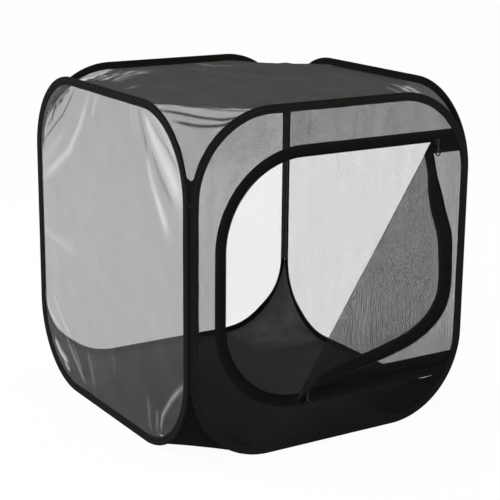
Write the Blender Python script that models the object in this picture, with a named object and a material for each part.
"""Pop-up insect cage: four spring-wire walls, a cloth top and floor, and a zipped door, as separate solids.

Metres, +Z up, the floor's underside at z = 0, the door in the wall at -Y and the clear film wall at -X.
Each wall is drawn in its own frame, with x along the wall, z up and -y outwards, and is then turned into place.
"""

import math

import bmesh
import bpy
from mathutils import Matrix, Vector

# Cage, as inner faces of the walls
CAGE_WIDTH = 0.600
CAGE_DEPTH = 0.616
CAGE_HEIGHT = 0.636
CORNER_RADIUS = 0.160
EDGE_CLEARANCE = 0.00015
SEAT_GAP = 0.0003

# Binding, a folded tape with the wire's tunnel and a slot for the panel's edge
WALL_THICKNESS = 0.006
BINDING_WIDTH = 0.016
BINDING_HEM = 0.0009
TUNNEL_WIDTH = 0.0044
TUNNEL_DEPTH = 0.0032
PANEL_SLOT = 0.0014

# Spring wire and the crimp that joins its ends
WIRE_WIDTH = 0.0024
WIRE_THICKNESS = 0.0012
WIRE_END_GAP = 0.0006
FERRULE_LENGTH = 0.024
FERRULE_WALL = 0.0004

# Cloth
PANEL_THICKNESS = 0.0008
TOP_INSET = 0.004

# Zip: the line between the two chains is a C, open at the right binding
ZIP_FROM_LEFT = 0.070
ZIP_FROM_TOP = 0.097
ZIP_BOTTOM = 0.102
ZIP_RADIUS = 0.155
ZIP_HALF_GAP = 0.0008
CHAIN_WIDTH = 0.0024
CHAIN_THICKNESS = 0.0024
TAPE_WIDTH = 0.022

# The fold in the door's cloth, from the upper slider to the lower one
FOLD_FROM_RIGHT = 0.092
FOLD_FROM_CURVE = 0.002
DOOR_OPEN_ANGLE = math.radians(76)

# Sliders and pulls
SLIDER_LENGTH = 0.011
SLIDER_WIDTH = 0.009
SLIDER_PLATE = 0.0012
SLIDER_WEB = 0.0010
SLIDER_FROM_FOLD = 0.0145
SLIDER_GAP = 0.0003
BAIL_LENGTH = 0.0060
BAIL_POST = 0.0010
BAIL_BAR_RADIUS = 0.0006
PULL_KNUCKLE_RADIUS = 0.0017
PULL_KNUCKLE_LENGTH = 0.0032
PULL_THICKNESS = 0.0016
PULL_LENGTH = 0.027
PULL_NECK_WIDTH = 0.0032
PULL_RING_RADIUS = 0.0060
PULL_RING_HOLE = 0.0038
STOP_LENGTH = 0.004
CUT_OVERRUN = 0.002

# Counts
CORNER_STEPS = 9
GUSSET_STEPS = 8
ROUND_SIDES = 20

FABRIC_BLACK = ("binding_tape", (0.012, 0.012, 0.012), 0.85, 0.0)
MESH_BLACK = ("insect_mesh", (0.10, 0.10, 0.10), 0.90, 0.0)
FILM_CLEAR = ("clear_film", (0.62, 0.62, 0.61), 0.15, 0.0)
FLOOR_CLOTH = ("floor_cloth", (0.022, 0.022, 0.022), 0.80, 0.0)
ZIP_CLOTH = ("zip_tape", (0.006, 0.006, 0.006), 0.80, 0.0)
ZIP_NYLON = ("zip_chain", (0.010, 0.010, 0.010), 0.45, 0.0)
PULL_METAL = ("zip_metal", (0.020, 0.020, 0.020), 0.35, 0.6)
SPRING_STEEL = ("spring_steel", (0.35, 0.36, 0.37), 0.30, 1.0)

END_WIDTH = CAGE_WIDTH - 2 * EDGE_CLEARANCE
SIDE_WIDTH = CAGE_DEPTH - 2 * EDGE_CLEARANCE
WALL_MIDDLE = WALL_THICKNESS / 2
PANEL_INSET = BINDING_HEM + TUNNEL_DEPTH + SEAT_GAP
WIRE_INSET = BINDING_HEM + (TUNNEL_DEPTH - WIRE_THICKNESS) / 2
ZIP_LEFT = ZIP_FROM_LEFT - CAGE_WIDTH / 2
ZIP_TOP = CAGE_HEIGHT - ZIP_FROM_TOP
FOLD_TOP_X = CAGE_WIDTH / 2 - FOLD_FROM_RIGHT
FOLD_BOTTOM_X = ZIP_LEFT + ZIP_RADIUS + FOLD_FROM_CURVE


def clear_scene():
    for obj in list(bpy.data.objects):
        bpy.data.objects.remove(obj)


def material(spec):
    name, colour, roughness, metallic = spec
    found = bpy.data.materials.get(name)
    if found:
        return found
    made = bpy.data.materials.new(name)
    made.use_nodes = True
    shader = made.node_tree.nodes["Principled BSDF"]
    shader.inputs["Base Color"].default_value = (*colour, 1.0)
    shader.inputs["Roughness"].default_value = roughness
    shader.inputs["Metallic"].default_value = metallic
    return made


def add_object(name, mesh, spec, parent=None):
    obj = bpy.data.objects.new(name, mesh)
    bpy.context.scene.collection.objects.link(obj)
    mesh.materials.append(material(spec))
    obj.parent = parent
    return obj


def add_empty(name, location, parent=None):
    empty = bpy.data.objects.new(name, None)
    bpy.context.scene.collection.objects.link(empty)
    empty.location = location
    empty.parent = parent
    return empty


def finish(name, shape, spec, parent=None):
    """Turns a bmesh into an object with its faces pointing out."""
    bmesh.ops.recalc_face_normals(shape, faces=shape.faces)
    mesh = bpy.data.meshes.new(name)
    shape.to_mesh(mesh)
    shape.free()
    return add_object(name, mesh, spec, parent)


def middle_plate(name, outline, thickness, spec, parent=None):
    """A flat piece with the outline (x, z), centred in the wall's thickness."""
    front = WALL_MIDDLE + thickness / 2
    back = WALL_MIDDLE - thickness / 2
    shape = bmesh.new()
    near = [shape.verts.new((x, -front, z)) for x, z in outline]
    far = [shape.verts.new((x, -back, z)) for x, z in outline]
    shape.faces.new(near)
    shape.faces.new(far[::-1])
    count = len(outline)
    for index in range(count):
        after = (index + 1) % count
        shape.faces.new((near[index], near[after], far[after], far[index]))
    return finish(name, shape, spec, parent)


def box(name, low, high, spec, parent=None):
    shape = bmesh.new()
    size = Vector(high) - Vector(low)
    centre = (Vector(high) + Vector(low)) / 2
    bmesh.ops.create_cube(shape, size=1, matrix=Matrix.Translation(centre) @ Matrix.Diagonal((*size, 1)))
    return finish(name, shape, spec, parent)


def join_by(target, tool, operation, parent):
    """Adds or cuts away a helper shape, which stays in the scene as a wire-frame guide."""
    tool.hide_render = True
    tool.display_type = "WIRE"
    tool.parent = parent
    modifier = target.modifiers.new(tool.name, "BOOLEAN")
    modifier.operation = operation
    modifier.solver = "EXACT"
    modifier.object = tool


def cylinder(name, radius, length, matrix, spec, parent=None):
    shape = bmesh.new()
    bmesh.ops.create_cone(
        shape,
        cap_ends=True,
        segments=ROUND_SIDES,
        radius1=radius,
        radius2=radius,
        depth=length,
        matrix=matrix,
    )
    return finish(name, shape, spec, parent)


def wall_outline(width, inset):
    """A wall's rounded outline, this far in from its outer edge, from the bottom's middle round to it again."""
    half = width / 2 - inset
    low, high = inset, CAGE_HEIGHT - inset
    radius = CORNER_RADIUS - inset
    centres = (
        (half - radius, low + radius, -90),
        (half - radius, high - radius, 0),
        (radius - half, high - radius, 90),
        (radius - half, low + radius, 180),
    )
    points = []
    for x, z, start in centres:
        for step in range(CORNER_STEPS + 1):
            angle = math.radians(start + 90 * step / CORNER_STEPS)
            points.append((x + radius * math.cos(angle), z + radius * math.sin(angle)))
    return points


def clip(outline, point, inward):
    """The part of an outline on the side of a line that `inward` points to."""
    kept = []
    for index, here in enumerate(outline):
        before = outline[index - 1]
        now = (here[0] - point[0]) * inward[0] + (here[1] - point[1]) * inward[1]
        last = (before[0] - point[0]) * inward[0] + (before[1] - point[1]) * inward[1]
        if now * last < 0:
            share = last / (last - now)
            kept.append(tuple(b + (h - b) * share for b, h in zip(before, here)))
        if now >= 0:
            kept.append(here)
    return kept


def clip_to(outline, around):
    """The part of an outline inside a convex one that runs anticlockwise."""
    for index, start in enumerate(around):
        end = around[(index + 1) % len(around)]
        outline = clip(outline, start, (start[1] - end[1], end[0] - start[0]))
    return outline


def right_edge(outline, height):
    """How far right an outline reaches at a height."""
    reached = []
    for index, (x, z) in enumerate(outline):
        last_x, last_z = outline[index - 1]
        if (z - height) * (last_z - height) < 0:
            share = (height - last_z) / (z - last_z)
            reached.append(last_x + (x - last_x) * share)
    return max(reached)


def zip_path(outwards, reach_top, reach_bottom):
    """The C of the zip, this far outside its line, from the upper right end round to the lower right one."""
    radius = ZIP_RADIUS + outwards
    left = ZIP_LEFT + ZIP_RADIUS
    points = [(reach_top, ZIP_TOP + outwards)]
    for step in range(CORNER_STEPS + 1):
        angle = math.radians(90 + 90 * step / CORNER_STEPS)
        points.append((left + radius * math.cos(angle), ZIP_TOP - ZIP_RADIUS + radius * math.sin(angle)))
    for step in range(CORNER_STEPS + 1):
        angle = math.radians(180 + 90 * step / CORNER_STEPS)
        points.append((left + radius * math.cos(angle), ZIP_BOTTOM + ZIP_RADIUS + radius * math.sin(angle)))
    points.append((reach_bottom, ZIP_BOTTOM - outwards))
    return points


def zip_band(near, far, reach_top, reach_bottom):
    """A strip along the zip between two distances outside its line; a negative one is on the door's side."""
    return zip_path(far, reach_top, reach_bottom) + zip_path(near, reach_top, reach_bottom)[::-1]


def add_wall_frame(side, width, parent):
    """The binding, its wire loop and the crimp of one wall."""
    add_binding(side, width, parent)
    add_wire(side, width, parent)
    add_ferrule(side, parent)


def add_binding(side, width, parent):
    half_slot = PANEL_SLOT / 2
    half_tunnel = TUNNEL_WIDTH / 2
    tunnel_end = BINDING_HEM + TUNNEL_DEPTH
    section = (
        (0, 0),
        (0, WALL_THICKNESS),
        (BINDING_WIDTH, WALL_THICKNESS),
        (BINDING_WIDTH, WALL_MIDDLE + half_slot),
        (tunnel_end, WALL_MIDDLE + half_slot),
        (tunnel_end, WALL_MIDDLE + half_tunnel),
        (BINDING_HEM, WALL_MIDDLE + half_tunnel),
        (BINDING_HEM, WALL_MIDDLE - half_tunnel),
        (tunnel_end, WALL_MIDDLE - half_tunnel),
        (tunnel_end, WALL_MIDDLE - half_slot),
        (BINDING_WIDTH, WALL_MIDDLE - half_slot),
        (BINDING_WIDTH, 0),
    )
    shape = bmesh.new()
    rings = []
    for inset, depth in section:
        rings.append([shape.verts.new((x, -depth, z)) for x, z in wall_outline(width, inset)])
    for index, ring in enumerate(rings):
        following = rings[(index + 1) % len(rings)]
        for step in range(len(ring)):
            after = (step + 1) % len(ring)
            shape.faces.new((ring[step], ring[after], following[after], following[step]))
    finish(f"{side}_binding", shape, FABRIC_BLACK, parent)


def add_wire(side, width, parent):
    """A flat wire bent into the wall's loop, with its two ends meeting at the bottom's middle."""
    shape = bmesh.new()
    front = WALL_MIDDLE + WIRE_WIDTH / 2
    back = WALL_MIDDLE - WIRE_WIDTH / 2
    section = (
        (WIRE_INSET, front),
        (WIRE_INSET + WIRE_THICKNESS, front),
        (WIRE_INSET + WIRE_THICKNESS, back),
        (WIRE_INSET, back),
    )
    rows = []
    for inset, depth in section:
        ring = [(WIRE_END_GAP / 2, inset)] + wall_outline(width, inset) + [(-WIRE_END_GAP / 2, inset)]
        rows.append([shape.verts.new((x, -depth, z)) for x, z in ring])
    for index, row in enumerate(rows):
        following = rows[(index + 1) % len(rows)]
        for step in range(len(row) - 1):
            shape.faces.new((row[step], row[step + 1], following[step + 1], following[step]))
    shape.faces.new([row[0] for row in rows])
    shape.faces.new([row[-1] for row in rows][::-1])
    finish(f"{side}_wire_loop", shape, SPRING_STEEL, parent)


def add_ferrule(side, parent):
    """A crimped sleeve round the wire's two ends."""
    low = WIRE_INSET - SEAT_GAP
    high = WIRE_INSET + WIRE_THICKNESS + SEAT_GAP
    half_bore = WIRE_WIDTH / 2 + SEAT_GAP
    half_outer = half_bore + FERRULE_WALL
    shape = bmesh.new()
    loops = []
    for half, bottom, top in (
        (half_outer, low - FERRULE_WALL, high + FERRULE_WALL),
        (half_bore, low, high),
    ):
        corners = ((-half, bottom), (half, bottom), (half, top), (-half, top))
        for x in (-FERRULE_LENGTH / 2, FERRULE_LENGTH / 2):
            loops.append([shape.verts.new((x, -WALL_MIDDLE - depth, z)) for depth, z in corners])
    outer_left, outer_right, bore_left, bore_right = loops
    for first, second in (
        (outer_left, outer_right),
        (bore_left, bore_right),
        (outer_left, bore_left),
        (outer_right, bore_right),
    ):
        for index in range(4):
            after = (index + 1) % 4
            shape.faces.new((first[index], first[after], second[after], second[index]))
    finish(f"{side}_wire_ferrule", shape, SPRING_STEEL, parent)


def fold_line():
    """Two points of the door's fold, on the zip's upper and lower stretches, and the way to the flap's side."""
    top = (FOLD_TOP_X, ZIP_TOP)
    bottom = (FOLD_BOTTOM_X, ZIP_BOTTOM)
    along = Vector((top[0] - bottom[0], top[1] - bottom[1])).normalized()
    return top, bottom, (-along.y, along.x)


def beside_fold(outline, flap_side):
    """The part of an outline on one side of the fold, kept clear of the fold by half a seat gap."""
    top, bottom, towards_flap = fold_line()
    sign = 1 if flap_side else -1
    inward = (towards_flap[0] * sign, towards_flap[1] * sign)
    start = (top[0] + inward[0] * SEAT_GAP / 2, top[1] + inward[1] * SEAT_GAP / 2)
    return clip(outline, start, inward)


def chain_edges():
    """Distances from the zip's line to the near and far edges of a chain, a tape and the cloth beyond."""
    chain_near = ZIP_HALF_GAP
    chain_far = chain_near + CHAIN_WIDTH
    tape_near = chain_far + SEAT_GAP
    tape_far = TAPE_WIDTH
    cloth = tape_far + SEAT_GAP
    return chain_near, chain_far, tape_near, tape_far, cloth


def add_front_cloth(parent):
    """The front wall's mesh outside the zip, a C with its gap at the right."""
    cloth = chain_edges()[4]
    panel = wall_outline(END_WIDTH, PANEL_INSET)
    high = ZIP_TOP + cloth
    low = ZIP_BOTTOM - cloth
    right_top = (right_edge(panel, high), high)
    right_low = (right_edge(panel, low), low)
    upper = [point for point in panel if point[1] > high and point[0] > 0]
    left = [point for point in panel if point[0] < 0]
    lower = [point for point in panel if point[1] < low and point[0] > 0]
    outer = [right_top] + upper + left + lower + [right_low]
    inner = zip_path(cloth, CAGE_WIDTH, CAGE_WIDTH)[1:-1][::-1]
    middle_plate("front_mesh_panel", outer + inner, PANEL_THICKNESS, MESH_BLACK, parent)


def stop_right_end(line):
    """The right face of an end stop, seated on the binding's inner edge at the zip's line."""
    half_height = ZIP_HALF_GAP + CHAIN_WIDTH
    edge = wall_outline(END_WIDTH, BINDING_WIDTH)
    return min(right_edge(edge, line - half_height), right_edge(edge, line + half_height)) - SEAT_GAP


def chain_right_end(line):
    """Where a chain ends, beside its end stop."""
    return stop_right_end(line) - STOP_LENGTH - SEAT_GAP


def add_frame_zip(parent):
    """The half of the zip that is sewn to the front wall."""
    chain_near, chain_far, tape_near, tape_far, _ = chain_edges()
    panel = wall_outline(END_WIDTH, PANEL_INSET)
    tape = clip_to(zip_band(tape_near, tape_far, CAGE_WIDTH, CAGE_WIDTH), panel)
    middle_plate("frame_zip_tape", tape, PANEL_THICKNESS, ZIP_CLOTH, parent)
    chain = zip_band(chain_near, chain_far, chain_right_end(ZIP_TOP), chain_right_end(ZIP_BOTTOM))
    middle_plate("frame_zip_chain", chain, CHAIN_THICKNESS, ZIP_NYLON, parent)


def door_outline(inside):
    """The door's cloth this far inside the zip's line, as far right as the binding's slot."""
    return clip_to(zip_path(-inside, CAGE_WIDTH, CAGE_WIDTH), wall_outline(END_WIDTH, PANEL_INSET))


def straight_strip(side_of_door, near, far, right):
    """A strip of the door along one straight stretch of the zip, from the fold to the right."""
    if side_of_door == "upper":
        low, high = ZIP_TOP - far, ZIP_TOP - near
    else:
        low, high = ZIP_BOTTOM + near, ZIP_BOTTOM + far
    left = ZIP_LEFT
    strip = [(left, low), (right, low), (right, high), (left, high)]
    return beside_fold(strip, flap_side=False)


def add_shut_door(parent):
    """The part of the door right of the fold, which stays zipped to the front wall at top and bottom."""
    chain_near, chain_far, tape_near, tape_far, cloth = chain_edges()
    panel = wall_outline(END_WIDTH, PANEL_INSET)
    shut = beside_fold(door_outline(cloth), flap_side=False)
    middle_plate("door_shut_mesh", shut, PANEL_THICKNESS, MESH_BLACK, parent)
    for end, line in (("upper", ZIP_TOP), ("lower", ZIP_BOTTOM)):
        tape = clip_to(straight_strip(end, tape_near, tape_far, CAGE_WIDTH), panel)
        middle_plate(f"door_{end}_shut_tape", tape, PANEL_THICKNESS, ZIP_CLOTH, parent)
        chain = straight_strip(end, chain_near, chain_far, chain_right_end(line))
        middle_plate(f"door_{end}_shut_chain", chain, CHAIN_THICKNESS, ZIP_NYLON, parent)


def add_flap(wall):
    """The opened flap, turned about the fold at the chain's outer face."""
    chain_near, chain_far, tape_near, tape_far, cloth = chain_edges()
    top, bottom, _ = fold_line()
    axis_depth = WALL_MIDDLE + CHAIN_THICKNESS / 2
    pivot = Vector((bottom[0], -axis_depth, bottom[1]))
    along = Vector((top[0] - bottom[0], 0, top[1] - bottom[1])).normalized()
    hinge = add_empty("door_fold", pivot, wall)
    hinge.rotation_mode = "AXIS_ANGLE"
    hinge.rotation_axis_angle = (DOOR_OPEN_ANGLE, *along)
    pieces = (
        ("door_flap_mesh", door_outline(cloth), PANEL_THICKNESS, MESH_BLACK),
        ("door_flap_tape", zip_band(-tape_far, -tape_near, CAGE_WIDTH, CAGE_WIDTH), PANEL_THICKNESS, ZIP_CLOTH),
        ("door_flap_chain", zip_band(-chain_far, -chain_near, CAGE_WIDTH, CAGE_WIDTH), CHAIN_THICKNESS, ZIP_NYLON),
    )
    for name, outline, thickness, spec in pieces:
        cut = beside_fold(outline, flap_side=True)
        flap = middle_plate(name, cut, thickness, spec, hinge)
        flap.data.transform(Matrix.Translation(-pivot))


def add_slider(end, wall):
    """A slider on one straight stretch of the zip, and the pull that hangs from its bail."""
    fold_x, line = (FOLD_TOP_X, ZIP_TOP) if end == "upper" else (FOLD_BOTTOM_X, ZIP_BOTTOM)
    centre = add_empty(f"{end}_slider_place", (fold_x + SLIDER_FROM_FOLD, 0, line), wall)
    channel = CHAIN_THICKNESS / 2 + SLIDER_GAP
    half_length = SLIDER_LENGTH / 2
    half_width = SLIDER_WIDTH / 2
    front_face = WALL_MIDDLE + channel + SLIDER_PLATE
    back_face = WALL_MIDDLE - channel - SLIDER_PLATE
    bar_depth = front_face + PULL_KNUCKLE_RADIUS + SLIDER_GAP
    body = box(
        f"{end}_slider",
        (-half_length, -front_face, -half_width),
        (half_length, -WALL_MIDDLE - channel, half_width),
        PULL_METAL,
        centre,
    )
    back = box(
        f"{end}_back_plate",
        (-half_length, -WALL_MIDDLE + channel, -half_width),
        (half_length, -back_face, half_width),
        PULL_METAL,
    )
    web = box(
        f"{end}_web",
        (-half_length, -front_face + SLIDER_PLATE / 2, -SLIDER_WEB / 2),
        (half_length, -back_face - SLIDER_PLATE / 2, SLIDER_WEB / 2),
        PULL_METAL,
    )
    joined = [back, web]
    half_bail = BAIL_LENGTH / 2
    for sign in (-1, 1):
        near = sign * half_bail
        far = sign * (half_bail + BAIL_POST)
        joined.append(
            box(
                f"{end}_bail_post_{sign}",
                (min(near, far), -bar_depth - BAIL_BAR_RADIUS, -BAIL_POST / 2),
                (max(near, far), -front_face + SLIDER_PLATE / 2, BAIL_POST / 2),
                PULL_METAL,
            )
        )
    turn = Matrix.Rotation(math.pi / 2, 4, "Y")
    bar_place = Matrix.Translation((0, -bar_depth, 0)) @ turn
    bar_length = BAIL_LENGTH + BAIL_POST
    joined.append(cylinder(f"{end}_bail_bar", BAIL_BAR_RADIUS, bar_length, bar_place, PULL_METAL))
    for piece in joined:
        join_by(body, piece, "UNION", centre)
    add_pull(end, centre, bar_depth)


def add_pull(end, slider, bar_depth):
    """A flat pull with a ring at its end, hung from the bail by a knuckle."""
    hang = add_empty(f"{end}_pull_hinge", (0, -bar_depth, 0), slider)
    half_neck = PULL_NECK_WIDTH / 2
    ring_z = PULL_RING_RADIUS - PULL_LENGTH
    neck = box(
        f"{end}_pull",
        (-half_neck, -PULL_THICKNESS / 2, ring_z),
        (half_neck, PULL_THICKNESS / 2, -PULL_KNUCKLE_RADIUS / 2),
        PULL_METAL,
        hang,
    )
    turn_x = Matrix.Rotation(math.pi / 2, 4, "Y")
    turn_y = Matrix.Rotation(math.pi / 2, 4, "X")
    ring_place = Matrix.Translation((0, 0, ring_z)) @ turn_y
    bore = BAIL_BAR_RADIUS + SLIDER_GAP
    through = PULL_THICKNESS + 2 * CUT_OVERRUN
    knuckle_through = PULL_KNUCKLE_LENGTH + 2 * CUT_OVERRUN
    steps = (
        ("knuckle", PULL_KNUCKLE_RADIUS, PULL_KNUCKLE_LENGTH, turn_x, "UNION"),
        ("ring", PULL_RING_RADIUS, PULL_THICKNESS, ring_place, "UNION"),
        ("ring_hole", PULL_RING_HOLE, through, ring_place, "DIFFERENCE"),
        ("bore", bore, knuckle_through, turn_x, "DIFFERENCE"),
    )
    for word, radius, length, place, operation in steps:
        piece = cylinder(f"{end}_pull_{word}", radius, length, place, PULL_METAL)
        join_by(neck, piece, operation, hang)


def add_end_stops(wall):
    """A crimped stop across both chains at each end of the zip."""
    half_height = ZIP_HALF_GAP + CHAIN_WIDTH
    half_depth = CHAIN_THICKNESS / 2
    for end, line in (("upper", ZIP_TOP), ("lower", ZIP_BOTTOM)):
        right = stop_right_end(line)
        box(
            f"{end}_end_stop",
            (right - STOP_LENGTH, -WALL_MIDDLE - half_depth, line - half_height),
            (right, -WALL_MIDDLE + half_depth, line + half_height),
            PULL_METAL,
            wall,
        )


def cage_limits():
    """Half the clear width and depth inside the walls, less the gap that the cloth keeps to them."""
    return CAGE_WIDTH / 2 - SEAT_GAP, CAGE_DEPTH / 2 - SEAT_GAP


def cross_outline(corner):
    """The flat part of the top or floor: the cage's rectangle without its four corner squares."""
    half_x, half_y = cage_limits()
    inner_x = CAGE_WIDTH / 2 - corner
    inner_y = CAGE_DEPTH / 2 - corner
    quarter = ((half_x, inner_y), (inner_x, inner_y), (inner_x, half_y))
    points = []
    for sign_x, sign_y in ((1, 1), (-1, 1), (-1, -1), (1, -1)):
        turned = [(x * sign_x, y * sign_y) for x, y in quarter]
        points += turned if sign_x * sign_y > 0 else turned[::-1]
    return points


def add_flat_cloth(name, low, spec):
    """A flat cross-shaped panel that lies level, between the walls."""
    shape = bmesh.new()
    outline = cross_outline(CORNER_RADIUS)
    face = shape.faces.new([shape.verts.new((x, y, low)) for x, y in outline])
    grown = bmesh.ops.extrude_face_region(shape, geom=[face])
    moved = [item for item in grown["geom"] if isinstance(item, bmesh.types.BMVert)]
    bmesh.ops.translate(shape, verts=moved, vec=(0, 0, PANEL_THICKNESS))
    return finish(name, shape, spec)


def gusset_drop(share_x, share_y):
    """How far a corner gusset has left the level, as a share of the corner radius."""
    across = 1 - math.sqrt(1 - share_x * share_x)
    along = 1 - math.sqrt(1 - share_y * share_y)
    return across * along


def add_gusset(name, sign_x, sign_y, level, upwards, spec):
    """A corner of the top or floor, which curves into the notch between two rounded walls."""
    half_x, half_y = cage_limits()
    start_x = CAGE_WIDTH / 2 - CORNER_RADIUS
    start_y = CAGE_DEPTH / 2 - CORNER_RADIUS
    shape = bmesh.new()
    rows = []
    for row in range(GUSSET_STEPS + 1):
        share_x = math.sin(math.pi / 2 * row / GUSSET_STEPS)
        line = []
        for column in range(GUSSET_STEPS + 1):
            share_y = math.sin(math.pi / 2 * column / GUSSET_STEPS)
            x = start_x + SEAT_GAP + (half_x - start_x - SEAT_GAP) * share_x
            y = start_y + SEAT_GAP + (half_y - start_y - SEAT_GAP) * share_y
            z = level + upwards * CORNER_RADIUS * gusset_drop(share_x, share_y)
            line.append(shape.verts.new((x * sign_x, y * sign_y, z)))
        rows.append(line)
    for row in range(GUSSET_STEPS):
        for column in range(GUSSET_STEPS):
            corners = (
                rows[row][column],
                rows[row + 1][column],
                rows[row + 1][column + 1],
                rows[row][column + 1],
            )
            outward = sign_x * sign_y * -upwards > 0
            shape.faces.new(corners if outward else corners[::-1])
    mesh = bpy.data.meshes.new(name)
    shape.to_mesh(mesh)
    shape.free()
    gusset = add_object(name, mesh, spec)
    skin = gusset.modifiers.new("cloth", "SOLIDIFY")
    skin.thickness = PANEL_THICKNESS
    skin.offset = -1
    return gusset


def add_top_and_floor():
    top_level = CAGE_HEIGHT - TOP_INSET
    add_flat_cloth("top_panel", top_level - PANEL_THICKNESS, MESH_BLACK)
    add_flat_cloth("floor_panel", 0, FLOOR_CLOTH)
    corners = (
        ("front_left", -1, -1),
        ("front_right", 1, -1),
        ("back_left", -1, 1),
        ("back_right", 1, 1),
    )
    for word, sign_x, sign_y in corners:
        add_gusset(f"top_gusset_{word}", sign_x, sign_y, top_level, -1, MESH_BLACK)
        add_gusset(f"floor_gusset_{word}", sign_x, sign_y, 0, 1, FLOOR_CLOTH)


def add_walls():
    """Each wall stands on its own empty, at the foot of its inner face's middle."""
    places = (
        ("front", END_WIDTH, (0, -CAGE_DEPTH / 2, 0), 0),
        ("left", SIDE_WIDTH, (-CAGE_WIDTH / 2, 0, 0), -90),
        ("right", SIDE_WIDTH, (CAGE_WIDTH / 2, 0, 0), 90),
        ("back", END_WIDTH, (0, CAGE_DEPTH / 2, 0), 180),
    )
    walls = {}
    for side, width, location, turn in places:
        wall = add_empty(f"{side}_wall", location)
        wall.rotation_euler.z = math.radians(turn)
        add_wall_frame(side, width, wall)
        walls[side] = wall
    panels = (
        ("left_film_panel", "left", SIDE_WIDTH, FILM_CLEAR),
        ("right_mesh_panel", "right", SIDE_WIDTH, MESH_BLACK),
        ("back_mesh_panel", "back", END_WIDTH, MESH_BLACK),
    )
    for name, side, width, spec in panels:
        middle_plate(name, wall_outline(width, PANEL_INSET), PANEL_THICKNESS, spec, walls[side])
    return walls


def main():
    clear_scene()
    walls = add_walls()
    front = walls["front"]
    add_front_cloth(front)
    add_frame_zip(front)
    add_shut_door(front)
    add_flap(front)
    add_slider("upper", front)
    add_slider("lower", front)
    add_end_stops(front)
    add_top_and_floor()


main()
